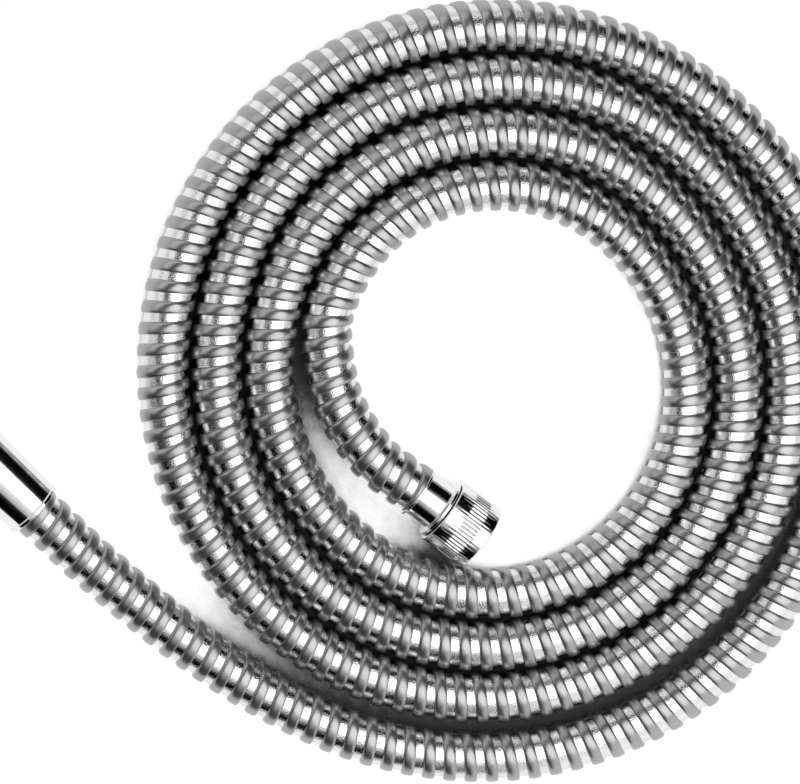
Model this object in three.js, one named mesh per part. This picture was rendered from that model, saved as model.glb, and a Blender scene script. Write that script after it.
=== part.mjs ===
import * as THREE from 'three';

// All sizes are in millimetres and all angles in degrees.
// The hose lies coiled on the XY plane, and its knurled nut looks along +X.

// The hose: a wound steel cover around a rubber liner.
const hoseDiameter = 17.8;
const coverWall = 1.5;
const coverSides = 12;
const linerSlack = 0.5;
const linerWall = 2.1;
const linerSides = 8;

// The coil: one layer of turns side by side, clockwise from the middle outwards.
const coilStartRadius = 61;
const coilStartAngle = 197.2;
const turnGap = 0.3;
const stationsPerTurn = 24;
const coilStations = 81;
const coilOval = 1.95;
const coilOvalAngle = 56.7;

// Where the two fittings lie: how far the coil has turned there, and the distance from it.
// The nut's mouth nests a little over the turn beside it.
const nutMouthTurned = 254.1;
const nutNest = 1.2;
const coneTurned = 1404.5;
const coneOutward = 32.9;
const coneHeading = 173.4;
const nutStraight = 6;
const coneStraight = 8;

// The uncoiled stretches: how far the coil has turned, the distance outwards from it
// and the share of the rise from the coil to the fitting.
const innerRun = [
  [-57.4, -8.3, 0.85],
  [-44.3, -6.7, 0.55],
  [-28.9, -4.3, 0.25],
  [-14.8, -2.6, 0.05],
];
const outerRun = [
  [1215, 0.1, 0],
  [1230, 0.5, 0],
  [1245, 1, 0],
  [1260, 1.6, 0],
  [1275, 2.2, 0],
  [1290, 2.7, 0],
  [1305, 2.8, 0],
  [1320, 2.6, 0],
  [1335, 2.4, 0],
  [1350, 2.6, 0],
  [1365.1, 4, 0],
  [1377.4, 7.8, 0],
  [1388.1, 14.3, 0.12],
  [1396.4, 22.2, 0.5],
];

// Fits between neighbouring pieces.
const clearance = 0.3;
const headClearance = 0.45;

// The swivel connection inside both nuts, made for a G 1/2 thread.
const threadBore = 18.7;
const shoulderWall = 2;
const stemWall = 0.85;
const stemNeck = 10;
const stemHeadLength = 2.2;
const barbCount = 4;
const barbPitch = 3.2;
const barbCrest = 0.7;
const barbDepth = 0.5;
const slideRingThickness = 0.8;
const sealHole = 10;
const sealThickness = 2;
const mouthChamfer = 0.4;
const edgeChamfer = 0.5;

// The spool-shaped collar that closes the hose behind the knurled nut.
const collarRimStep = 0.7;
const collarRimThickness = 0.9;
const collarNeckInset = 0.5;
const collarFlangeStep = 1.9;
const collarFlangeThickness = 1.2;
const collarLength = 11.2;
const collarWall = 1.2;
const collarFront = 2;

// The knurled nut.
const nutDiameter = 24;
const nutLength = 16.4;
const knurlStart = 5.6;
const knurlLength = 6.4;
const knurlRibs = 50;
const knurlDepth = 0.45;
const knurlRunOut = 0.5;

// The conical sleeve nut.
const coneLength = 45;
const coneNarrowStep = 1.2;
const coneMouthDiameter = 24;
const beadHeight = 0.5;
const beadLength = 1.4;
const beadRound = 0.3;
const coneSegments = 64;

const turnedSegments = 40;
const innerSegments = 24;

// Sizes that follow from the ones above.
const hoseRadius = hoseDiameter / 2;
const coverCorner = hoseRadius / Math.cos(Math.PI / coverSides);
const coverBore = hoseRadius - coverWall;
const linerCorner = coverBore - linerSlack;
const linerBoreCorner = linerCorner - linerWall;
const barbRadius = linerBoreCorner * Math.cos(Math.PI / linerSides) - clearance;
const stemBoreRadius = barbRadius - barbDepth - stemWall;
const neckHole = stemNeck / 2 + clearance;
const headRadius = threadBore / 2 - headClearance;
const passageRadius = coverCorner + clearance;
const nutBack = collarLength + clearance;
const coneBack = coneLength - nutLength;
const coneNarrowRadius = hoseRadius + coneNarrowStep;
const beadRadius = coneNarrowRadius + beadHeight;
const coneFootSpan = coneLength - edgeChamfer - beadRound;
const coneTilt = Math.atan2(coneMouthDiameter / 2 - beadRadius, coneFootSpan);
const coneOriginZ = beadRadius * Math.cos(coneTilt) - beadRound * Math.sin(coneTilt);

const nutMouthOutward = nutNest - hoseRadius - nutDiameter / 2;
const nutOrigin = coilPoint(nutMouthTurned, nutMouthOutward);
nutOrigin.x -= nutBack + nutLength;

const nutEnd = {
  origin: nutOrigin.setZ(nutDiameter / 2),
  heading: 0,
  tilt: 0,
};
const coneEnd = {
  origin: coilPoint(coneTurned, coneOutward).setZ(coneOriginZ),
  heading: THREE.MathUtils.degToRad(coneHeading),
  tilt: coneTilt,
};

function axisOf(end) {
  const level = Math.cos(end.tilt);
  return new THREE.Vector3(
    level * Math.cos(end.heading),
    level * Math.sin(end.heading),
    Math.sin(end.tilt),
  );
}

function pointOn(end, distance) {
  return axisOf(end).multiplyScalar(distance).add(end.origin);
}

function coilPoint(turned, outward) {
  const angle = THREE.MathUtils.degToRad(coilStartAngle - turned);
  const growth = ((hoseDiameter + turnGap) * turned) / 360;
  const oval = coilOval * Math.cos(2 * (angle - THREE.MathUtils.degToRad(coilOvalAngle)));
  const radius = coilStartRadius + growth - oval + outward;
  return new THREE.Vector3(radius * Math.cos(angle), radius * Math.sin(angle), hoseRadius);
}

function runPoints(run, end) {
  const rise = end.origin.z - hoseRadius;
  return run.map(([turned, outward, share]) => {
    const point = coilPoint(turned, outward);
    return point.setZ(hoseRadius + share * rise);
  });
}

// Every point is a station, and the section stays upright, so that the flats of
// neighbouring turns face each other.
class HoseRoute extends THREE.CatmullRomCurve3 {
  getPointAt(u, target) {
    return this.getPoint(u, target);
  }

  computeFrenetFrames(segments) {
    const tangents = [];
    const normals = [];
    const binormals = [];
    for (let station = 0; station <= segments; station += 1) {
      const tangent = this.getTangent(station / segments);
      const side = new THREE.Vector3(0, 0, 1).cross(tangent).normalize();
      tangents.push(tangent);
      normals.push(side);
      binormals.push(new THREE.Vector3().crossVectors(tangent, side));
    }
    return { tangents, normals, binormals };
  }
}

function hoseStations(nutReaches, coneReaches) {
  const coil = Array.from({ length: coilStations }, (_, station) =>
    coilPoint((station * 360) / stationsPerTurn, 0),
  );
  return [
    ...nutReaches.map((reach) => pointOn(nutEnd, reach)),
    pointOn(nutEnd, -nutStraight),
    ...runPoints(innerRun, nutEnd),
    ...coil,
    ...runPoints(outerRun, coneEnd),
    pointOn(coneEnd, -coneStraight),
    pointOn(coneEnd, 0),
    ...coneReaches.map((reach) => pointOn(coneEnd, reach)),
  ];
}

function polygon(radius, sides) {
  return Array.from({ length: sides }, (_, corner) => {
    const angle = ((corner + 0.5) * 2 * Math.PI) / sides;
    return new THREE.Vector2(radius * Math.cos(angle), radius * Math.sin(angle));
  });
}

function tube(stations, outerCorner, innerCorner, sides) {
  const section = new THREE.Shape(polygon(outerCorner, sides));
  section.holes.push(new THREE.Path(polygon(innerCorner, sides)));
  return new THREE.ExtrudeGeometry(section, {
    steps: stations.length - 1,
    extrudePath: new HoseRoute(stations),
  });
}

// A turned piece on its fitting's axis, from the distances and radii around its section.
function turned(profile, segments) {
  const outline = [...profile, profile[0]].map(([along, radius]) => new THREE.Vector2(radius, along));
  return new THREE.LatheGeometry(outline, segments);
}

function placed(geometry, end) {
  geometry.rotateZ(-Math.PI / 2);
  geometry.rotateY(-end.tilt);
  geometry.rotateZ(end.heading);
  geometry.translate(end.origin.x, end.origin.y, end.origin.z);
  return geometry;
}

function ringPart(start, thickness, hole, radius, segments) {
  return turned(
    [
      [start, hole],
      [start, radius],
      [start + thickness, radius],
      [start + thickness, hole],
    ],
    segments,
  );
}

const ringStart = shoulderWall + clearance;
const headStart = ringStart + slideRingThickness + clearance;
const sealStart = headStart + stemHeadLength + clearance;
const hoseStop = -clearance - collarFront;
const coverStop = -clearance - collarLength - clearance;

function stem(back) {
  const stop = back + hoseStop;
  const tail = stop - barbCount * barbPitch;
  const barbs = [];
  for (let barb = 0; barb < barbCount; barb += 1) {
    barbs.push([tail + barb * barbPitch, barbRadius - barbDepth]);
    barbs.push([tail + (barb + barbCrest) * barbPitch, barbRadius]);
  }
  return turned(
    [
      [tail, stemBoreRadius],
      ...barbs,
      [stop, barbRadius - barbDepth],
      [stop, stemNeck / 2],
      [back + headStart, stemNeck / 2],
      [back + headStart, headRadius],
      [back + headStart + stemHeadLength, headRadius],
      [back + headStart + stemHeadLength, stemBoreRadius],
    ],
    innerSegments,
  );
}

function slideRing(back) {
  return ringPart(back + ringStart, slideRingThickness, neckHole, headRadius, innerSegments);
}

function seal(back) {
  const radius = threadBore / 2 - clearance;
  return ringPart(back + sealStart, sealThickness, sealHole / 2, radius, turnedSegments);
}

function threadedSocket(back, mouth) {
  return [
    [mouth, threadBore / 2 + mouthChamfer],
    [mouth - mouthChamfer, threadBore / 2],
    [back + shoulderWall, threadBore / 2],
    [back + shoulderWall, neckHole],
    [back, neckHole],
  ];
}

function nutCollar() {
  const rim = hoseRadius + collarRimStep;
  const neck = hoseRadius - collarNeckInset;
  const flange = hoseRadius + collarFlangeStep;
  const flangeStart = collarLength - collarFlangeThickness;
  const chamber = neck - collarWall;
  return turned(
    [
      [0, chamber],
      [0, rim],
      [collarRimThickness, rim],
      [collarRimThickness, neck],
      [flangeStart, neck],
      [flangeStart, flange],
      [collarLength, flange],
      [collarLength, neckHole],
      [nutBack + hoseStop, neckHole],
      [nutBack + hoseStop, chamber],
    ],
    turnedSegments,
  );
}

function coneFerrule() {
  const start = coneBack - clearance - collarLength;
  const chamber = hoseRadius - collarWall;
  return turned(
    [
      [start, chamber],
      [start, hoseRadius],
      [coneBack - clearance, hoseRadius],
      [coneBack - clearance, neckHole],
      [coneBack + hoseStop, neckHole],
      [coneBack + hoseStop, chamber],
    ],
    turnedSegments,
  );
}

function knurledNut() {
  const radius = nutDiameter / 2;
  const mouth = nutBack + nutLength;
  const crestStart = nutBack + knurlStart + knurlRunOut;
  const crestEnd = nutBack + knurlStart + knurlLength - knurlRunOut;
  const profile = [
    [nutBack, radius - edgeChamfer],
    [nutBack + edgeChamfer, radius],
    [nutBack + knurlStart, radius],
    [crestStart, radius],
    [crestEnd, radius],
    [nutBack + knurlStart + knurlLength, radius],
    [mouth - edgeChamfer, radius],
    [mouth, radius - edgeChamfer],
    ...threadedSocket(nutBack, mouth),
  ];
  const geometry = turned(profile, 2 * knurlRibs);
  const position = geometry.getAttribute('position');
  const rootShare = 1 - knurlDepth / radius;
  const rows = profile.length + 1;
  const grooved = [profile.findIndex(([along]) => along === crestStart)];
  grooved.push(grooved[0] + 1);
  for (let groove = 1; groove < 2 * knurlRibs; groove += 2) {
    grooved.forEach((row) => {
      const index = groove * rows + row;
      position.setX(index, position.getX(index) * rootShare);
      position.setZ(index, position.getZ(index) * rootShare);
    });
  }
  return geometry;
}

function coneNut() {
  const wide = coneMouthDiameter / 2;
  return turned(
    [
      [0, beadRadius - beadRound],
      [beadRound, beadRadius],
      [beadLength - beadRound, beadRadius],
      [beadLength, coneNarrowRadius],
      [coneLength - edgeChamfer, wide],
      [coneLength, wide - edgeChamfer],
      ...threadedSocket(coneBack, coneLength),
      [coneBack, passageRadius],
      [0, passageRadius],
    ],
    coneSegments,
  );
}

function cover() {
  const stations = hoseStations([nutBack + coverStop], [coneBack + coverStop]);
  const boreCorner = coverBore / Math.cos(Math.PI / coverSides);
  return tube(stations, coverCorner, boreCorner, coverSides);
}

function liner() {
  const linerStop = hoseStop - clearance;
  const stations = hoseStations(
    [nutBack + linerStop, nutBack + coverStop],
    [coneBack + coverStop, coneBack + linerStop],
  );
  return tube(stations, linerCorner, linerBoreCorner, linerSides);
}

const hose = new THREE.Group();
hose.name = 'shower_hose';

function add(name, geometry, color, metalness, roughness) {
  const mesh = new THREE.Mesh(
    geometry,
    new THREE.MeshStandardMaterial({ name, color, metalness, roughness }),
  );
  mesh.name = name;
  hose.add(mesh);
}

add('outer_cover', cover(), 0xb4b6b8, 1, 0.3);
add('inner_hose', liner(), 0x2b2b2b, 0, 0.8);

add('nut_collar', placed(nutCollar(), nutEnd), 0xd5d7d9, 1, 0.12);
add('nut_stem', placed(stem(nutBack), nutEnd), 0xb59a55, 1, 0.35);
add('nut_slide_ring', placed(slideRing(nutBack), nutEnd), 0xe6e4dc, 0, 0.5);
add('knurled_nut', placed(knurledNut(), nutEnd), 0xd8dadc, 1, 0.1);
add('nut_seal', placed(seal(nutBack), nutEnd), 0x1d1d1f, 0, 0.85);

add('cone_ferrule', placed(coneFerrule(), coneEnd), 0xc9c3a8, 1, 0.3);
add('cone_stem', placed(stem(coneBack), coneEnd), 0xb59a56, 1, 0.35);
add('cone_slide_ring', placed(slideRing(coneBack), coneEnd), 0xe6e4db, 0, 0.5);
add('cone_nut', placed(coneNut(), coneEnd), 0xd8dadd, 1, 0.1);
add('cone_seal', placed(seal(coneBack), coneEnd), 0x1d1d1e, 0, 0.85);

// The origin goes to the middle of the underside.
const box = new THREE.Box3().setFromObject(hose);
const middle = box.getCenter(new THREE.Vector3());
hose.children.forEach((piece) => piece.geometry.translate(-middle.x, -middle.y, -box.min.z));

export default hose;
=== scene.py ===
# A metal-covered shower hose lying in a flat coil, with a knurled nut and a conical nut.
import math

import bmesh
import bpy
import numpy as np
from mathutils import Matrix, Vector


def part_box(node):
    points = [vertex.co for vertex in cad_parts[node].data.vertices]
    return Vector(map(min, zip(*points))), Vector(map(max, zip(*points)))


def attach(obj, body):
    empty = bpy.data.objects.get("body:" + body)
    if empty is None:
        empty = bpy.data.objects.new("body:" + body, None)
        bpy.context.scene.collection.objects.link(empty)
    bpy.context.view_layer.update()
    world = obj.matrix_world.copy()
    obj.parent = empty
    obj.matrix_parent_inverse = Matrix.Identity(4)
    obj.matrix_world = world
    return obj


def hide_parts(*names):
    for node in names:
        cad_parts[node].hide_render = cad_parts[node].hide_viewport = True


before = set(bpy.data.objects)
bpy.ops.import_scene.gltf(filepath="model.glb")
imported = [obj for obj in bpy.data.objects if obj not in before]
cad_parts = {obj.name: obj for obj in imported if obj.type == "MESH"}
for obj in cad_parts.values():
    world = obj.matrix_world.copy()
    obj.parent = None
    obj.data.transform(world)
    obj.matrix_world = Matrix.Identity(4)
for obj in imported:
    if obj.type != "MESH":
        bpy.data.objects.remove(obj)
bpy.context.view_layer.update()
scene = bpy.context.scene
scene.view_settings.view_transform = "Standard"
print("frame loaded")


# Lengths are written in millimetres and angles in degrees; Blender gets metres and radians.
mm = 0.001

coil = {
    "startRadius": 61,
    "startAngle": 197.2,
    "hoseDiameter": 17.8,
    "turnGap": 0.3,
    "stationsPerTurn": 24,
    "stations": 81,
    "oval": 1.95,
    "ovalAngle": 56.7,
}
# How far the coil has turned, the distance outwards from it, the share of the rise.
innerRun = [(-57.4, -8.3, 0.85), (-44.3, -6.7, 0.55), (-28.9, -4.3, 0.25), (-14.8, -2.6, 0.05)]
outerRun = [
    (1215, 0.1, 0),
    (1230, 0.5, 0),
    (1245, 1, 0),
    (1260, 1.6, 0),
    (1275, 2.2, 0),
    (1290, 2.7, 0),
    (1305, 2.8, 0),
    (1320, 2.6, 0),
    (1335, 2.4, 0),
    (1350, 2.6, 0),
    (1365.1, 4, 0),
    (1377.4, 7.8, 0),
    (1388.1, 14.3, 0.12),
    (1396.4, 22.2, 0.5),
]
fittings = {
    "nutTurned": 254.1,
    "nutOutward": -19.7,
    "nutRadius": 12,
    "nutLength": 16.4,
    "nutBack": 11.5,
    "nutStraight": 6,
    "coneTurned": 1404.5,
    "coneOutward": 32.9,
    "coneHeading": 173.4,
    "coneTilt": 1.8142,
    "coneRise": 10.5852,
    "coneLength": 45,
    "coneStraight": 8,
    "shoulder": 2,
    "gap": 0.3,
}
hoseRadius = coil["hoseDiameter"] / 2
coneBack = fittings["coneLength"] - fittings["nutLength"]


def coilPoint(turned, outward, height):
    angle = math.radians(coil["startAngle"] - turned)
    growth = (coil["hoseDiameter"] + coil["turnGap"]) * turned / 360
    oval = coil["oval"] * math.cos(2 * (angle - math.radians(coil["ovalAngle"])))
    radius = coil["startRadius"] + growth - oval + outward
    return np.array([radius * math.cos(angle), radius * math.sin(angle), height])


nutOrigin = coilPoint(fittings["nutTurned"], fittings["nutOutward"], fittings["nutRadius"])
nutOrigin[0] -= fittings["nutBack"] + fittings["nutLength"]
coneOrigin = coilPoint(fittings["coneTurned"], fittings["coneOutward"], fittings["coneRise"])
coneHeading = math.radians(fittings["coneHeading"])
coneTilt = math.radians(fittings["coneTilt"])
coneAxis = np.array([
    math.cos(coneTilt) * math.cos(coneHeading),
    math.cos(coneTilt) * math.sin(coneHeading),
    math.sin(coneTilt),
])

# The solids are centred on their own box, so the coil's middle is found from the nut.
nutLow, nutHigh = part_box("knurled_nut")
coilMiddle = np.array([
    nutLow.x / mm - fittings["nutBack"] - nutOrigin[0],
    (nutLow.y + nutHigh.y) / 2 / mm - nutOrigin[1],
    0,
])
nutEnd = {"origin": nutOrigin + coilMiddle, "axis": np.array([1.0, 0, 0])}
coneEnd = {"origin": coneOrigin + coilMiddle, "axis": coneAxis}


def pointOn(end, distance):
    return end["origin"] + end["axis"] * distance


def runPoints(run, rise):
    return [
        coilPoint(turned, outward, hoseRadius + share * (rise - hoseRadius)) + coilMiddle
        for turned, outward, share in run
    ]


def hoseStations(nutReaches, coneReaches):
    turns = [
        coilPoint(station * 360 / coil["stationsPerTurn"], 0, hoseRadius) + coilMiddle
        for station in range(coil["stations"])
    ]
    return np.array(
        [pointOn(nutEnd, reach) for reach in nutReaches]
        + [pointOn(nutEnd, -fittings["nutStraight"])]
        + runPoints(innerRun, nutOrigin[2])
        + turns
        + runPoints(outerRun, coneOrigin[2])
        + [pointOn(coneEnd, -fittings["coneStraight"]), pointOn(coneEnd, 0)]
        + [pointOn(coneEnd, reach) for reach in coneReaches]
    )


# A smooth line through the stations, with its length, its left side and its upper side.
def smoothTrack(stations, steps=40):
    ends = [2 * stations[0] - stations[1]], [2 * stations[-1] - stations[-2]]
    p = np.concatenate([ends[0], stations, ends[1]])
    gap = np.sqrt(np.linalg.norm(np.diff(p, axis=0), axis=1))[:, None]
    slope = np.diff(p, axis=0) / gap
    across = (p[2:] - p[:-2]) / (gap[1:] + gap[:-1])
    leave = (slope[:-2] - across[:-1] + slope[1:-1]) * gap[1:-1]
    arrive = (slope[1:-1] - across[1:] + slope[2:]) * gap[1:-1]
    start, stop = p[1:-2], p[2:-1]
    t = np.linspace(0, 1, steps, endpoint=False)[None, :, None]
    start, stop, leave, arrive = (a[:, None, :] for a in (start, stop, leave, arrive))
    bent = (
        start
        + leave * t
        + (3 * (stop - start) - 2 * leave - arrive) * t**2
        + (2 * (start - stop) + leave + arrive) * t**3
    )
    line = np.concatenate([bent.reshape(-1, 3), stations[-1:]])
    length = np.concatenate([[0], np.cumsum(np.linalg.norm(np.diff(line, axis=0), axis=1))])
    tangent = np.gradient(line, length, axis=0)
    side = np.cross([0, 0, 1], tangent)
    side /= np.linalg.norm(side, axis=1)[:, None]
    upper = np.cross(tangent / np.linalg.norm(tangent, axis=1)[:, None], side)
    return {"line": line, "length": length, "side": side, "upper": upper}


def onTrack(track, name, along):
    return np.stack([np.interp(along, track["length"], track[name][:, k]) for k in range(3)], 1)


# Points (along, sideways, upwards) of the straight hose go to their place on the track.
def bendTo(track, points):
    along = points[:, 0]
    return (
        onTrack(track, "line", along)
        + onTrack(track, "side", along) * points[:, 1:2]
        + onTrack(track, "upper", along) * points[:, 2:3]
    )


def pieceFrom(name, verts, faces, body, finishes, sharp, values):
    mesh = bpy.data.meshes.new(name)
    mesh.from_pydata((verts * mm).tolist(), [], faces)
    for finish in finishes:
        mesh.materials.append(finish)
    for key, value in values.items():
        attribute = mesh.attributes.new(key, "FLOAT", "POINT")
        attribute.data.foreach_set("value", value.astype(np.float32))
    mesh.polygons.foreach_set("use_smooth", np.ones(len(mesh.polygons), bool))
    mesh.set_sharp_from_angle(angle=math.radians(sharp))
    mesh.update()
    obj = bpy.data.objects.new(name, mesh)
    scene.collection.objects.link(obj)
    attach(obj, body)
    return obj


def standsFor(node):
    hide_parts(node)


# Camera: a long lens that leans 12 degrees from straight above.
camera = {
    "target": (-18.15, -15.72, 8.5),
    "frameWidth": 272.6,
    "distance": 2400,
    "lean": 12,
    "leanBearing": 172.2,
    "sensor": 36,
    "clipStart": 100,
    "clipEnd": 20000,
}
leanAngle = math.radians(camera["leanBearing"])
away = Vector((-math.cos(leanAngle), -math.sin(leanAngle), 0))  # lower right in the view
beside = Vector((-away.y, away.x, 0))  # upper right in the view
lean = math.radians(camera["lean"])
slope = away * math.cos(lean) + Vector((0, 0, math.sin(lean)))
backward = Vector((0, 0, math.cos(lean))) - away * math.sin(lean)
rightward = (slope + beside).normalized()
upward = (beside - slope).normalized()
lens = bpy.data.cameras.new("camera")
lens.sensor_width = camera["sensor"]
lens.sensor_fit = "HORIZONTAL"
lens.lens = camera["sensor"] * camera["distance"] / camera["frameWidth"]
lens.clip_start = camera["clipStart"] * mm
lens.clip_end = camera["clipEnd"] * mm
shot = bpy.data.objects.new("camera", lens)
stand = [
    aim * mm + part * camera["distance"] * mm for aim, part in zip(camera["target"], backward)
]
shot.matrix_world = Matrix((*zip(rightward, upward, backward, stand), (0, 0, 0, 1)))
scene.collection.objects.link(shot)
scene.camera = shot
print("camera set")


# Node helpers: feed links a socket to another one, or sets its value.
def feed(links, socket, value):
    if isinstance(value, bpy.types.NodeSocket):
        links.new(value, socket)
    else:
        socket.default_value = value


def newMaterial(name):
    material = bpy.data.materials.new(name)
    material.use_nodes = True
    nodes = material.node_tree.nodes
    return material, nodes, material.node_tree.links, nodes["Principled BSDF"]


def mathNode(nodes, links, operation, *values):
    node = nodes.new("ShaderNodeMath")
    node.operation = operation
    for socket, value in zip(node.inputs, values):
        feed(links, socket, value)
    return node.outputs[0]


def noiseNode(nodes, links, scale, vector, detail=2, roughness=0.5):
    node = nodes.new("ShaderNodeTexNoise")
    feed(links, node.inputs["Scale"], scale)
    links.new(vector, node.inputs["Vector"])
    node.inputs["Detail"].default_value = detail
    node.inputs["Roughness"].default_value = roughness
    return node.outputs["Fac"]


def rangeNode(nodes, links, value, start=0, full=1, below=0, above=1, smooth=False):
    node = nodes.new("ShaderNodeMapRange")
    if smooth:
        node.interpolation_type = "SMOOTHSTEP"
    links.new(value, node.inputs["Value"])
    feed(links, node.inputs["From Min"], start)
    feed(links, node.inputs["From Max"], full)
    feed(links, node.inputs["To Min"], below)
    feed(links, node.inputs["To Max"], above)
    return node.outputs["Result"]


def colorMix(nodes, links, mask, first, second):
    node = nodes.new("ShaderNodeMix")
    node.data_type = "RGBA"
    links.new(mask, node.inputs["Factor"])
    feed(links, node.inputs["A"], first)
    feed(links, node.inputs["B"], second)
    return node.outputs["Result"]


def newGroup(name, inputs, outputs):
    group = bpy.data.node_groups.new(name, "ShaderNodeTree")
    for label, value in inputs.items():
        socket = group.interface.new_socket(label, in_out="INPUT", socket_type="NodeSocketFloat")
        socket.default_value = value
    for label in outputs:
        group.interface.new_socket(label, in_out="OUTPUT", socket_type="NodeSocketFloat")
    given, result = group.nodes.new("NodeGroupInput"), group.nodes.new("NodeGroupOutput")
    return group, group.nodes, group.links, given.outputs, result.inputs


def useGroup(nodes, group, **values):
    node = nodes.new("ShaderNodeGroup")
    node.node_tree = group
    for label, value in values.items():
        node.inputs[label].default_value = value
    return node


# Handling marks: a roughness that drifts between a clean and a touched value.
def makeHandlingMarks():
    group, nodes, links, given, result = newGroup(
        "handlingMarks", {"Scale": 60, "Clean": 0.1, "Touched": 0.2}, ["Roughness"]
    )
    place = nodes.new("ShaderNodeTexCoord").outputs["Object"]
    noise = noiseNode(nodes, links, given["Scale"], place, detail=5, roughness=0.6)
    drift = rangeNode(nodes, links, noise, 0.35, 0.65, given["Clean"], given["Touched"])
    links.new(drift, result["Roughness"])
    return group


# Fine lines that follow a direction kept in an attribute: turning lines or rolled strip.
def makeToolLines():
    group, nodes, links, given, result = newGroup(
        "toolLines", {"Across": 0, "Along": 0, "Density": 8, "Stretch": 0.05}, ["Height"]
    )
    across = mathNode(nodes, links, "MULTIPLY", given["Across"], given["Density"])
    along = mathNode(nodes, links, "MULTIPLY", given["Along"], given["Density"])
    along = mathNode(nodes, links, "MULTIPLY", along, given["Stretch"])
    both = nodes.new("ShaderNodeCombineXYZ")
    links.new(across, both.inputs["X"])
    links.new(along, both.inputs["Y"])
    noise = noiseNode(nodes, links, 1, both.outputs["Vector"], detail=3)
    links.new(noise, result["Height"])
    return group


# Edge wear: a mask on corners that stand proud.
def makeEdgeWear():
    group, nodes, links, given, result = newGroup(
        "edgeWear", {"Start": 0.52, "Full": 0.6, "Patchiness": 400}, ["Mask"]
    )
    place = nodes.new("ShaderNodeTexCoord").outputs["Object"]
    noise = noiseNode(nodes, links, given["Patchiness"], place, detail=4)
    proud = nodes.new("ShaderNodeNewGeometry").outputs["Pointiness"]
    edge = rangeNode(nodes, links, proud, given["Start"], given["Full"])
    links.new(mathNode(nodes, links, "MULTIPLY", edge, noise), result["Mask"])
    return group


# Painted crevice shade: a mask that is one in the open and falls to zero where neighbours close in,
# where the metals' colour is darkened.
paintedShadeSettings = {
    "reach": 5,
    "shut": 0.08,
    "open": 0.34,
    "color": (0.06, 0.06, 0.06, 1),
    "samples": 6,
}


def opennessMask(nodes, links, samples, reach, shut, opened):
    cover = nodes.new("ShaderNodeAmbientOcclusion")
    cover.samples = samples
    feed(links, cover.inputs["Distance"], reach)
    return rangeNode(nodes, links, cover.outputs["AO"], shut, opened, smooth=True)


def makePaintedCreviceShade():
    group, nodes, links, given, result = newGroup(
        "paintedCreviceShade", {"Reach": 0.006, "Shut": 0.2, "Open": 0.5}, ["Mask"]
    )
    mask = opennessMask(
        nodes, links, paintedShadeSettings["samples"], given["Reach"], given["Shut"], given["Open"]
    )
    links.new(mask, result["Mask"])
    return group


# Soft grain of moulded rubber and plastic.
def makeMouldGrain():
    group, nodes, links, given, result = newGroup("mouldGrain", {"Scale": 1500}, ["Height", "Tone"])
    place = nodes.new("ShaderNodeTexCoord").outputs["Object"]
    links.new(noiseNode(nodes, links, given["Scale"], place, detail=6), result["Height"])
    links.new(noiseNode(nodes, links, 90, place), result["Tone"])
    return group


handlingMarks = makeHandlingMarks()
toolLines = makeToolLines()
edgeWear = makeEdgeWear()
mouldGrain = makeMouldGrain()
paintedCreviceShade = makePaintedCreviceShade()


def attributeValue(nodes, name):
    node = nodes.new("ShaderNodeAttribute")
    node.attribute_name = name
    return node.outputs["Fac"]


def addBump(nodes, links, shader, height, finish):
    node = nodes.new("ShaderNodeBump")
    node.inputs["Strength"].default_value = finish["bump"]
    node.inputs["Distance"].default_value = finish["bumpDepth"] * mm
    links.new(height, node.inputs["Height"])
    links.new(node.outputs["Normal"], shader.inputs["Normal"])


def addMarks(nodes, links, shader, finish):
    marks = useGroup(
        nodes,
        handlingMarks,
        Scale=finish["markScale"],
        Clean=finish["clean"],
        Touched=finish["touched"],
    )
    links.new(marks.outputs["Roughness"], shader.inputs["Roughness"])


# A metal finish: its colour lightens on worn edges and is darkened in crevices as painted shade,
# its gloss drifts, and fine lines follow the shape.
def metalFinish(name, finish):
    material, nodes, links, shader = newMaterial(name)
    shader.inputs["Metallic"].default_value = finish["metallic"]
    addMarks(nodes, links, shader, finish)
    wear = useGroup(nodes, edgeWear, Start=finish["wearStart"], Full=finish["wearFull"])
    tone = colorMix(nodes, links, wear.outputs["Mask"], finish["color"], finish["wornColor"])
    shade = useGroup(
        nodes,
        paintedCreviceShade,
        Reach=paintedShadeSettings["reach"] * mm,
        Shut=paintedShadeSettings["shut"],
        Open=paintedShadeSettings["open"],
    )
    # Painted shade: the base colour goes near black where the mask says neighbours close in.
    withPaintedShade = colorMix(nodes, links, shade.outputs["Mask"], paintedShadeSettings["color"], tone)
    links.new(withPaintedShade, shader.inputs["Base Color"])
    lines = useGroup(nodes, toolLines, Density=finish["lineDensity"], Stretch=finish["lineStretch"])
    links.new(attributeValue(nodes, "across"), lines.inputs["Across"])
    links.new(attributeValue(nodes, "along"), lines.inputs["Along"])
    addBump(nodes, links, shader, lines.outputs["Height"], finish)
    return material


def mouldedFinish(name, finish):
    material, nodes, links, shader = newMaterial(name)
    grain = useGroup(nodes, mouldGrain, Scale=finish["grain"])
    tone = colorMix(nodes, links, grain.outputs["Tone"], finish["dark"], finish["light"])
    links.new(tone, shader.inputs["Base Color"])
    addMarks(nodes, links, shader, finish)
    addBump(nodes, links, shader, grain.outputs["Height"], finish)
    return material


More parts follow.
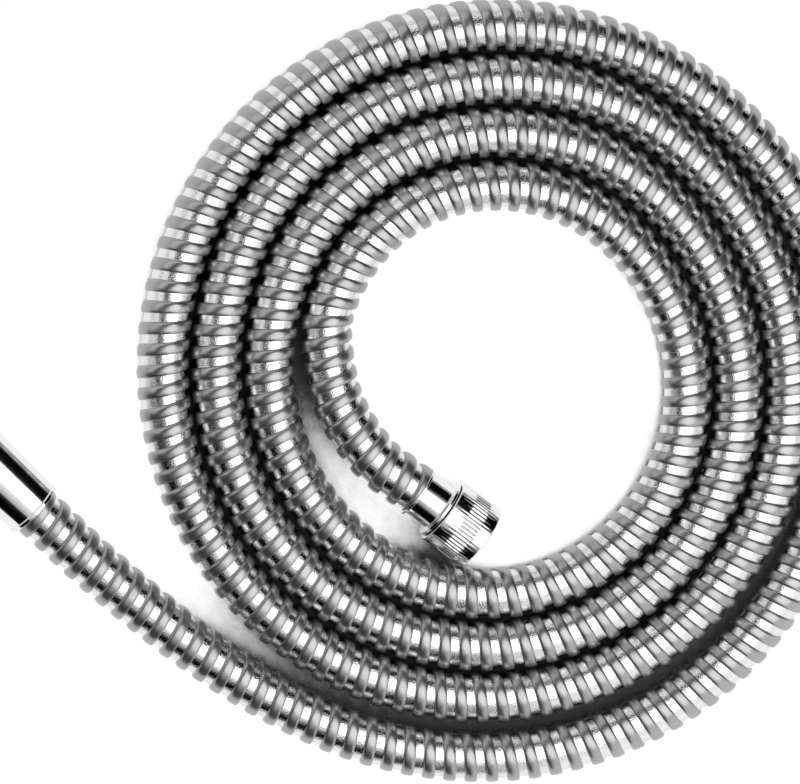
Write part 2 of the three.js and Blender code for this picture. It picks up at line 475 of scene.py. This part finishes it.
ridgeSteel = metalFinish("ridgeSteel", {
    "color": (0.41, 0.41, 0.415, 1),
    "wornColor": (0.52, 0.52, 0.53, 1),
    "metallic": 0.9,
    "clean": 0.27,
    "touched": 0.34,
    "markScale": 70,
    "wearStart": 0.56,
    "wearFull": 0.7,
    "lineDensity": 9,
    "lineStretch": 0.03,
    "bump": 0.25,
    "bumpDepth": 0.04,
})
valleySteel = metalFinish("valleySteel", {
    "color": (0.8, 0.8, 0.81, 1),
    "wornColor": (0.85, 0.85, 0.86, 1),
    "metallic": 1.0,
    "clean": 0.1,
    "touched": 0.18,
    "markScale": 90,
    "wearStart": 0.6,
    "wearFull": 0.8,
    "lineDensity": 2.0,
    "lineStretch": 0.7,
    "bump": 0.75,
    "bumpDepth": 0.17,
})
chrome = metalFinish("chrome", {
    "color": (0.86, 0.86, 0.87, 1),
    "wornColor": (0.9, 0.9, 0.91, 1),
    "metallic": 1.0,
    "clean": 0.1,
    "touched": 0.15,
    "markScale": 80,
    "wearStart": 0.55,
    "wearFull": 0.7,
    "lineDensity": 6,
    "lineStretch": 0.02,
    "bump": 0.04,
    "bumpDepth": 0.02,
})
drawnSteel = metalFinish("drawnSteel", {
    "color": (0.6, 0.6, 0.59, 1),
    "wornColor": (0.75, 0.75, 0.74, 1),
    "metallic": 1.0,
    "clean": 0.22,
    "touched": 0.34,
    "markScale": 90,
    "wearStart": 0.55,
    "wearFull": 0.7,
    "lineDensity": 5,
    "lineStretch": 0.02,
    "bump": 0.2,
    "bumpDepth": 0.04,
})
turnedBrass = metalFinish("turnedBrass", {
    "color": (0.69, 0.5, 0.2, 1),
    "wornColor": (0.86, 0.7, 0.38, 1),
    "metallic": 1.0,
    "clean": 0.2,
    "touched": 0.36,
    "markScale": 110,
    "wearStart": 0.53,
    "wearFull": 0.65,
    "lineDensity": 6,
    "lineStretch": 0.02,
    "bump": 0.35,
    "bumpDepth": 0.05,
})
blackRubber = mouldedFinish("blackRubber", {
    "dark": (0.012, 0.012, 0.012, 1),
    "light": (0.035, 0.035, 0.036, 1),
    "clean": 0.6,
    "touched": 0.8,
    "markScale": 120,
    "grain": 1800,
    "bump": 0.3,
    "bumpDepth": 0.05,
})
naturalNylon = mouldedFinish("naturalNylon", {
    "dark": (0.72, 0.7, 0.64, 1),
    "light": (0.84, 0.83, 0.78, 1),
    "clean": 0.35,
    "touched": 0.5,
    "markScale": 120,
    "grain": 900,
    "bump": 0.12,
    "bumpDepth": 0.05,
})
print("finishes made")


# The wound cover: one strip with a flat polished valley and a rounded satin ridge.
winding = {
    "pitch": 7.05,
    "around": 24,
    "profile": [  # along the hose, radius
        (0, 7.75),
        (2.95, 7.75),
        (2.99, 8.55),
        (3.27, 8.81),
        (3.9, 8.95),
        (4.7, 9.03),
        (5.4, 9.02),
        (6.1, 8.92),
        (6.7, 8.76),
        (6.99, 8.45),
    ],
    "satinFaces": (1, 2, 3, 4, 5, 6, 7, 8, 9),
    "turnsBefore": 2,
    "spareTurns": 3,
    "bore": 7.35,
    "boreStep": 8,
    "sharp": 50,
    "nutStop": -0.05,
    "coneStop": 16.8,
}


def windingStrip(length):
    knots = np.array(winding["profile"], float)
    around = winding["around"]
    pitch = winding["pitch"]
    count = len(knots)
    rows = (math.ceil(length / pitch) + winding["spareTurns"]) * around
    row = np.arange(rows)
    angle = 2 * np.pi * row / around
    along = pitch * (row / around - winding["turnsBefore"])[:, None] + knots[None, :, 0]
    radius = np.broadcast_to(knots[None, :, 1], along.shape)
    turned = np.cos(angle)[:, None], np.sin(angle)[:, None]
    verts = np.stack([along, radius * turned[0], radius * turned[1]], 2)
    first = np.arange(rows - around - 1)[:, None] * count
    step = np.arange(count - 1)[None, :]
    corner = first + step
    inner = np.stack([corner, corner + count, corner + count + 1, corner + 1], 2)
    last = first[:, 0] + count - 1
    turn = around * count
    outer = np.stack([last, last + count, first[:, 0] + count + turn, first[:, 0] + turn], 1)
    faces = np.concatenate([inner, outer[:, None, :]], 1).reshape(-1, 4)
    material = np.tile([int(k in winding["satinFaces"]) for k in range(count)], len(first))
    return verts.reshape(-1, 3), faces, material


# The strip is cut square at both ends, and gets its bore and its end rings.
def coverMesh(length):
    verts, faces, material = windingStrip(length)
    keep = np.unique(faces)
    number = np.zeros(len(verts), int)
    number[keep] = np.arange(len(keep))
    work = bmesh.new()
    made = [work.verts.new(point) for point in verts[keep].tolist()]
    for corners, slotIndex in zip(number[faces].tolist(), material.tolist()):
        work.faces.new([made[corner] for corner in corners]).material_index = slotIndex
    endReach = 3 * winding["pitch"]
    for place, normal in ((0, -1), (length, 1)):
        near = [f for f in work.faces if abs(f.calc_center_median().x - place) < endReach]
        edges = dict.fromkeys(e for f in near for e in f.edges)
        points = dict.fromkeys(v for f in near for v in f.verts)
        bmesh.ops.bisect_plane(
            work,
            geom=[*near, *edges, *points],  # in the same order at every run
            dist=1e-5,
            plane_co=(place, 0, 0),
            plane_no=(normal, 0, 0),
            clear_outer=True,
        )
    for vertex in [v for v in work.verts if not v.link_faces]:
        work.verts.remove(vertex)
    rings = max(2, round(length / winding["boreStep"]))
    around = winding["around"]
    turns = [2 * math.pi * corner / around for corner in range(around)]
    bore = [
        [
            work.verts.new((
                length * ring / rings,
                winding["bore"] * math.cos(turn),
                winding["bore"] * math.sin(turn),
            ))
            for turn in turns
        ]
        for ring in range(rings + 1)
    ]
    for near, far in zip(bore, bore[1:]):
        for corner in range(around):
            after = (corner + 1) % around
            work.faces.new((near[corner], far[corner], far[after], near[after]))
    onEnd = 1e-3
    for place in (0, length):
        rim = [
            e for e in work.edges
            if len(e.link_faces) == 1 and all(abs(v.co.x - place) < onEnd for v in e.verts)
        ]
        bmesh.ops.triangle_fill(work, use_beauty=True, use_dissolve=False, edges=rim)
    openEdges = sum(1 for e in work.edges if len(e.link_faces) != 2)
    work.verts.index_update()
    verts = np.array([v.co for v in work.verts])
    faces = [[v.index for v in f.verts] for f in work.faces]
    material = np.array([f.material_index for f in work.faces], np.int32)
    work.free()
    print("cover: open edges", openEdges, "faces", len(faces))
    return verts, faces, material


coverTrack = smoothTrack(hoseStations([winding["nutStop"]], [winding["coneStop"]]))
coverLength = float(coverTrack["length"][-1])
coverStraight, coverFaces, coverMaterial = coverMesh(coverLength)
turnAngle = np.arctan2(coverStraight[:, 2], coverStraight[:, 1])
coverPiece = pieceFrom(
    "woundCover",
    bendTo(coverTrack, coverStraight),
    coverFaces,
    "hose",
    [valleySteel, ridgeSteel],
    winding["sharp"],
    {
        "across": coverStraight[:, 0] - winding["pitch"] * turnAngle / (2 * np.pi),
        "along": turnAngle * hoseRadius,
    },
)
coverPiece.data.polygons.foreach_set("material_index", coverMaterial)
standsFor("outer_cover")
print("wound cover made:", round(coverLength, 1), "mm long")


# Turned pieces. A profile is a closed loop of (along the axis, radius, rounding).
def rounded(profile, steps=4, mostOfSide=0.48):
    corners = [(*corner, 0)[:3] for corner in profile]
    loop = []
    for index, (along, radius, soft) in enumerate(corners):
        here = np.array([along, radius], float)
        if soft == 0:
            loop.append(here)
            continue
        before = np.array(corners[index - 1][:2], float) - here
        after = np.array(corners[(index + 1) % len(corners)][:2], float) - here
        nearest = min(np.linalg.norm(before), np.linalg.norm(after))
        before /= np.linalg.norm(before)
        after /= np.linalg.norm(after)
        half = math.acos(max(-1, min(1, float(before @ after)))) / 2
        reach = min(soft / math.tan(half), mostOfSide * nearest)
        first, last = here + before * reach, here + after * reach
        for step in range(steps + 1):
            t = step / steps
            loop.append(first * (1 - t) ** 2 + here * 2 * t * (1 - t) + last * t**2)
    return np.array(loop)


def turnedPiece(name, body, end, profile, segments, finish, shape=None, sharp=40):
    loop = rounded(profile)
    count = len(loop)
    angle = 2 * np.pi * np.arange(segments) / segments
    along = np.broadcast_to(loop[None, :, 0], (segments, count)).copy()
    radius = np.broadcast_to(loop[None, :, 1], (segments, count)).copy()
    if shape is not None:
        radius = shape(along, angle[:, None], radius)
    axis = end["axis"]
    side = np.cross([0, 0, 1], axis)
    side /= np.linalg.norm(side)
    upper = np.cross(axis, side)
    verts = (
        end["origin"]
        + along[..., None] * axis
        + (radius * np.cos(angle)[:, None])[..., None] * side
        + (radius * np.sin(angle)[:, None])[..., None] * upper
    )
    a = np.arange(segments)[:, None] * count
    b = ((np.arange(segments) + 1) % segments)[:, None] * count
    k = np.arange(count)[None, :]
    n = (k + 1) % count
    faces = np.stack([a + k, b + k, b + n, a + n], 2).reshape(-1, 4).tolist()
    later = np.roll(loop, -1, axis=0)
    if np.sum(loop[:, 0] * later[:, 1] - later[:, 0] * loop[:, 1]) < 0:
        faces = [face[::-1] for face in faces]
    return pieceFrom(
        name,
        verts.reshape(-1, 3),
        faces,
        body,
        [finish],
        sharp,
        {"across": along.ravel(), "along": (radius * angle[:, None]).ravel()},
    )


# The rubber liner inside the cover.
liner = {
    "radius": 6.75,
    "wall": 2.1,
    "around": 20,
    "step": 8,
    "sharp": 50,
    "nutStop": 8.9,
    "coneStop": 26.0,
}


def makeLiner():
    track = smoothTrack(hoseStations([liner["nutStop"]], [liner["coneStop"]]))
    length = float(track["length"][-1])
    rings = round(length / liner["step"])
    around = liner["around"]
    angle = 2 * np.pi * np.arange(around) / around
    parts = []
    for radius in (liner["radius"], liner["radius"] - liner["wall"]):
        along = np.repeat(np.linspace(0, length, rings + 1), around)
        turn = np.tile(angle, rings + 1)
        parts.append(np.stack([along, radius * np.cos(turn), radius * np.sin(turn)], 1))
    straight = np.concatenate(parts)
    faces = []
    inside = (rings + 1) * around
    last = rings * around
    for a in range(around):
        b = (a + 1) % around
        for ring in range(0, last, around):
            c, d = ring + a, ring + b
            faces.append((c, d, d + around, c + around))
            faces.append((inside + c, inside + c + around, inside + d + around, inside + d))
        faces.append((a, inside + a, inside + b, b))
        faces.append((last + a, last + b, inside + last + b, inside + last + a))
    piece = pieceFrom(
        "rubberLiner",
        bendTo(track, straight),
        faces,
        "hose",
        [blackRubber],
        liner["sharp"],
        {"across": straight[:, 0], "along": straight[:, 1]},
    )
    standsFor("inner_hose")


makeLiner()
print("liner made")

# Sizes that both swivel connections share, measured along the fitting's axis.
swivel = {
    "neckHole": 5.3,
    "headRadius": 8.9,
    "neck": 5,
    "bore": 2.785,
    "ringStart": 2.3,
    "ringThickness": 0.8,
    "headStart": 3.4,
    "headLength": 2.2,
    "sealStart": 5.9,
    "sealThickness": 2,
    "sealHole": 5,
    "sealRadius": 9.05,
    "ringCorner": 0.12,
    "sealCorner": 0.35,
    "barbs": 4,
    "barbPitch": 3.2,
    "barbRise": 0.7,
    "barbCrest": 4.135,
    "barbRoot": 3.635,
    "hoseStop": -2.3,
    "segments": 64,
}
# The internal G 1/2 thread: it starts behind the seal and fades in and out over a run.
thread = {
    "crest": 9.35,
    "depth": 1.05,
    "pitch": 1.814,
    "start": 8.2,
    "mouthGap": 0.7,
    "run": 0.9,
    "rowsPerPitch": 7,
    "flat": 0.125,
    "chamfer": 0.4,
}
collar = {
    "length": 11.2,
    "rimRadius": 9.6,
    "rimThickness": 0.9,
    "neckRadius": 8.4,
    "flangeRadius": 10.8,
    "flangeThickness": 1.2,
    "step": 0.05,
    "chamber": 7.2,
    "front": 9.2,
    "segments": 96,
}


def makeCollar():
    flangeStart = collar["length"] - collar["flangeThickness"]
    profile = [
        (0, collar["chamber"]),
        (0, collar["rimRadius"], 0.3),
        (collar["rimThickness"], collar["rimRadius"], 0.3),
        (collar["rimThickness"] + collar["step"], collar["neckRadius"], 0.35),
        (flangeStart - collar["step"], collar["neckRadius"], 0.5),
        (flangeStart, collar["flangeRadius"], 0.35),
        (collar["length"], collar["flangeRadius"], 0.3),
        (collar["length"], swivel["neckHole"], 0.1),
        (collar["front"], swivel["neckHole"], 0.1),
        (collar["front"], collar["chamber"]),
    ]
    piece = turnedPiece("spoolCollar", "hose", nutEnd, profile, collar["segments"], chrome)
    standsFor("nut_collar")


def makeStem(name, node, end, back):
    stop = back + swivel["hoseStop"]
    tail = stop - swivel["barbs"] * swivel["barbPitch"]
    profile = [(tail, swivel["bore"], 0.15)]
    for barb in range(swivel["barbs"]):
        crest = tail + (barb + swivel["barbRise"]) * swivel["barbPitch"]
        profile.append((tail + barb * swivel["barbPitch"], swivel["barbRoot"], 0.1))
        profile.append((crest, swivel["barbCrest"], 0.1))
    head = back + swivel["headStart"]
    profile += [
        (stop, swivel["barbRoot"], 0.1),
        (stop, swivel["neck"], 0.2),
        (head, swivel["neck"], 0.2),
        (head, swivel["headRadius"], 0.25),
        (head + swivel["headLength"], swivel["headRadius"], 0.25),
        (head + swivel["headLength"], swivel["bore"], 0.3),
    ]
    piece = turnedPiece(name, "hose", end, profile, swivel["segments"], turnedBrass)
    standsFor(node)


def makeRing(name, node, body, end, start, thickness, hole, radius, soft, finish):
    profile = [
        (start, hole, soft),
        (start, radius, soft),
        (start + thickness, radius, soft),
        (start + thickness, hole, soft),
    ]
    piece = turnedPiece(name, body, end, profile, swivel["segments"], finish)
    standsFor(node)


# The thread's rows along the bore, and the wave that they follow.
def threadSpan(back, mouth):
    return back + thread["start"], mouth - thread["mouthGap"]


def threadRows(back, mouth):
    start, stop = threadSpan(back, mouth)
    count = round((stop - start) / thread["pitch"] * thread["rowsPerPitch"])
    return [(stop - (stop - start) * row / count, thread["crest"]) for row in range(count + 1)]


def threadShape(back, mouth, along, angle, radius, near=0.001):
    start, stop = threadSpan(back, mouth)
    inBore = np.abs(radius - thread["crest"]) < near
    inBore &= (along > start - near) & (along < stop + near)
    phase = (along / thread["pitch"] - angle / (2 * np.pi)) % 1
    flat = thread["flat"]
    wave = np.clip((1 + 2 * flat) * (1 - np.abs(2 * phase - 1)) - flat, 0, 1)
    fade = np.clip(np.minimum(along - start, stop - along) / thread["run"], 0, 1)
    return np.where(inBore, radius + thread["depth"] * wave * fade, radius)


def threadedSocket(back, mouth):
    return [
        (mouth, thread["crest"] + thread["chamfer"], 0.15),
        (mouth - thread["chamfer"], thread["crest"], 0.1),
        *threadRows(back, mouth),
        (back + fittings["shoulder"], thread["crest"], 0.15),
        (back + fittings["shoulder"], swivel["neckHole"], 0.1),
        (back, swivel["neckHole"], 0.1),
    ]


nut = {
    "knurlStart": 5.6,
    "knurlLength": 6.4,
    "runOut": 0.35,
    "ribs": 50,
    "ribSteps": 8,
    "grooveDepth": 0.45,
    "groove": (0, 0.02, 0.12, 0.62, 1, 0.62, 0.12, 0.02),
    "soft": 0.55,
}


def makeNut():
    back = fittings["nutBack"]
    mouth = back + fittings["nutLength"]
    radius = fittings["nutRadius"]
    start = back + nut["knurlStart"]
    stop = start + nut["knurlLength"]
    profile = [
        (back, radius, nut["soft"]),
        (start, radius),
        (start + nut["runOut"], radius),
        (stop - nut["runOut"], radius),
        (stop, radius),
        (mouth, radius, nut["soft"]),
        *threadedSocket(back, mouth),
    ]
    segments = nut["ribs"] * nut["ribSteps"]
    groove = np.array(nut["groove"])[np.arange(segments) % nut["ribSteps"]][:, None]

    def shape(along, angle, reach, near=0.01):
        cut = (along > start + near) & (along < stop - near) & (reach > radius - near)
        reach = np.where(cut, reach - nut["grooveDepth"] * groove, reach)
        return threadShape(back, mouth, along, angle, reach)

    piece = turnedPiece("knurledNut", "tap_nut", nutEnd, profile, segments, chrome, shape)
    standsFor("knurled_nut")


cone = {
    "narrow": 10.12,
    "wide": 12,
    "beadRadius": 10.6,
    "beadLength": 1.4,
    "beadStep": 0.1,
    "passage": 9.51,
    "soft": 0.5,
    "segments": 128,
}


def makeCone():
    mouth = fittings["coneLength"]
    profile = [
        (0, cone["beadRadius"], 0.45),
        (cone["beadLength"], cone["beadRadius"], 0.45),
        (cone["beadLength"] + cone["beadStep"], cone["narrow"], 0.25),
        (mouth, cone["wide"], cone["soft"]),
        *threadedSocket(coneBack, mouth),
        (coneBack, cone["passage"], 0.2),
        (0, cone["passage"], 0.25),
    ]
    piece = turnedPiece(
        "coneNut",
        "handset_nut",
        coneEnd,
        profile,
        cone["segments"],
        chrome,
        lambda along, angle, radius: threadShape(coneBack, mouth, along, angle, radius),
    )
    standsFor("cone_nut")
    return piece


ferrule = {"wall": 1.2, "corner": 0.4, "segments": 64}


def makeFerrule():
    inside = hoseRadius - ferrule["wall"]
    start = coneBack - fittings["gap"] - collar["length"]
    stop = coneBack - fittings["gap"]
    floorStart = coneBack + swivel["hoseStop"]
    profile = [
        (start, inside, 0.2),
        (start, hoseRadius, ferrule["corner"]),
        (stop, hoseRadius, ferrule["corner"]),
        (stop, swivel["neckHole"], 0.1),
        (floorStart, swivel["neckHole"], 0.1),
        (floorStart, inside),
    ]
    piece = turnedPiece("crimpFerrule", "hose", coneEnd, profile, ferrule["segments"], drawnSteel)
    standsFor("cone_ferrule")
    return piece


makeCollar()
makeNut()
conePiece = makeCone()
ferrulePiece = makeFerrule()
for side, end, back, body in (
    ("nut", nutEnd, fittings["nutBack"], "tap_nut"),
    ("cone", coneEnd, coneBack, "handset_nut"),
):
    makeStem(side + "Stem", side + "_stem", end, back)
    makeRing(
        side + "SlideRing",
        side + "_slide_ring",
        "hose",
        end,
        back + swivel["ringStart"],
        swivel["ringThickness"],
        swivel["neckHole"],
        swivel["headRadius"],
        swivel["ringCorner"],
        naturalNylon,
    )
    makeRing(
        side + "Seal",
        side + "_seal",
        body,
        end,
        back + swivel["sealStart"],
        swivel["sealThickness"],
        swivel["sealHole"],
        swivel["sealRadius"],
        swivel["sealCorner"],
        blackRubber,
    )
print("fittings made")


# The floor: white, dark only where the hose keeps the light out. There its colour is darkened as
# painted shade, and it stops glowing.
floor = {
    "radius": 8000,
    "corners": 96,
    "color": 0.95,
    "paintedShadeColor": 0.13,
    "reach": 15,
    "shut": 0.33,
    "open": 0.45,
    "samples": 16,
}


def makeFloor():
    material, nodes, links, shader = newMaterial("whiteTable")
    nodes.remove(shader)
    openness = opennessMask(
        nodes, links, floor["samples"], floor["reach"] * mm, floor["shut"], floor["open"]
    )
    # Painted shade: the floor's colour falls to a dark grey where the hose closes in.
    tone = rangeNode(nodes, links, openness, 0, 1, floor["paintedShadeColor"], floor["color"])
    plain = nodes.new("ShaderNodeBsdfDiffuse")
    links.new(tone, plain.inputs["Color"])
    bright = nodes.new("ShaderNodeEmission")
    bright.inputs["Strength"].default_value = 1
    ray = nodes.new("ShaderNodeLightPath").outputs
    seen = mathNode(nodes, links, "MAXIMUM", ray["Is Camera Ray"], ray["Is Glossy Ray"])
    seen = mathNode(nodes, links, "MAXIMUM", seen, ray["Is Transmission Ray"])
    mix = nodes.new("ShaderNodeMixShader")
    links.new(mathNode(nodes, links, "MULTIPLY", seen, openness), mix.inputs["Fac"])
    links.new(plain.outputs["BSDF"], mix.inputs[1])
    links.new(bright.outputs["Emission"], mix.inputs[2])
    links.new(mix.outputs["Shader"], nodes["Material Output"].inputs["Surface"])
    radius, corners = floor["radius"] * mm, floor["corners"]
    turns = [2 * math.pi * corner / corners for corner in range(corners)]
    verts = [(0, 0, 0)] + [(radius * math.cos(t), radius * math.sin(t), 0) for t in turns]
    faces = [(0, 1 + corner, 1 + (corner + 1) % corners) for corner in range(corners)]
    mesh = bpy.data.meshes.new("table")
    mesh.from_pydata(verts, [], faces)
    mesh.materials.append(material)
    table = bpy.data.objects.new("table", mesh)
    scene.collection.objects.link(table)


makeFloor()


# The world: a grey room with a pale line at the horizon, and dark on two opposite sides.
room = {
    "grey": 0.34,
    "ceiling": 0.06,
    "pale": 0.9,
    "paleTop": 0.07,
    "greyStart": 0.15,
    "ceilingStart": 0.62,
    "ceilingFull": 0.84,
    "darkStart": 0.6,
    "darkFull": 0.82,
    "darkShare": 0.04,
}


def makeWorld():
    world = bpy.data.worlds.new("room")
    scene.world = world
    world.use_nodes = True
    nodes, links = world.node_tree.nodes, world.node_tree.links
    place = nodes.new("ShaderNodeTexCoord")
    parts = nodes.new("ShaderNodeSeparateXYZ")
    links.new(place.outputs["Generated"], parts.inputs["Vector"])
    bands = []
    for low, high, below, above in (
        (room["paleTop"], room["greyStart"], room["pale"], room["grey"]),
        (room["ceilingStart"], room["ceilingFull"], 0, room["ceiling"]),
    ):
        fade = rangeNode(nodes, links, parts.outputs["Z"], low, high, below, above, smooth=True)
        bands.append(fade)
    sideways = nodes.new("ShaderNodeVectorMath")
    sideways.operation = "DOT_PRODUCT"
    sideways.inputs[1].default_value = beside
    links.new(place.outputs["Generated"], sideways.inputs[0])
    turned = mathNode(nodes, links, "ABSOLUTE", sideways.outputs["Value"])
    dark = rangeNode(
        nodes, links, turned, room["darkStart"], room["darkFull"], 1, room["darkShare"], smooth=True
    )
    light = mathNode(nodes, links, "ADD", *bands)
    light = mathNode(nodes, links, "MULTIPLY", light, dark)
    links.new(light, nodes["Background"].inputs["Strength"])


makeWorld()

# Soft lights, placed and sized along the two ground directions of the view. Each is at
# (away, beside, height) and looks at such a point, with its own brightness and spread.
lamps = {
    "overhead": {
        "at": (156, 40, 461),
        "look": (156, 40, 0),
        "size": (530, 460),
        "bright": 2.0,
        "spread": 180,
    },
    "overheadLeft": {
        "at": (156, -340, 462),
        "look": (156, -340, 0),
        "size": (530, 300),
        "bright": 0.3,
        "spread": 100,
    },
    "overheadRight": {
        "at": (156, 420, 462),
        "look": (156, 420, 0),
        "size": (530, 300),
        "bright": 0.3,
        "spread": 100,
    },
    "farCard": {
        "at": (470, 0, 232),
        "look": (0, 0, 200),
        "size": (460, 700),
        "bright": 1.0,
        "spread": 180,
    },
    "sideStripLow": {
        "at": (-300, 30, 50),
        "look": (0, 30, 30),
        "size": (50, 900),
        "bright": 1.0,
        "spread": 180,
    },
    "sideStripMiddle": {
        "at": (-300, 30, 145),
        "look": (0, 30, 60),
        "size": (70, 900),
        "bright": 1.2,
        "spread": 180,
    },
    "sideStripHigh": {
        "at": (-300, 30, 262),
        "look": (0, 30, 100),
        "size": (85, 900),
        "bright": 1.2,
        "spread": 180,
    },
}


def makeLamp(name, settings):
    light = bpy.data.lights.new(name, "AREA")
    light.shape = "RECTANGLE"
    deep, wide = (side * mm for side in settings["size"])
    light.size = wide
    light.size_y = deep
    light.energy = settings["bright"] * math.pi * deep * wide
    light.spread = math.radians(settings["spread"])
    obj = bpy.data.objects.new(name, light)
    middle = Vector((coilMiddle[0], coilMiddle[1], 0))
    place, target = (
        (away * out + beside * across + middle + Vector((0, 0, height))) * mm
        for out, across, height in (settings["at"], settings["look"])
    )
    facing = (place - target).normalized()
    deepWay = facing.cross(beside).normalized()
    turn = Matrix((beside, deepWay, facing)).transposed().to_4x4()
    obj.matrix_world = Matrix.Translation(place) @ turn
    obj.visible_camera = False
    scene.collection.objects.link(obj)


for lampName, lampSettings in lamps.items():
    makeLamp(lampName, lampSettings)
print("lights set")
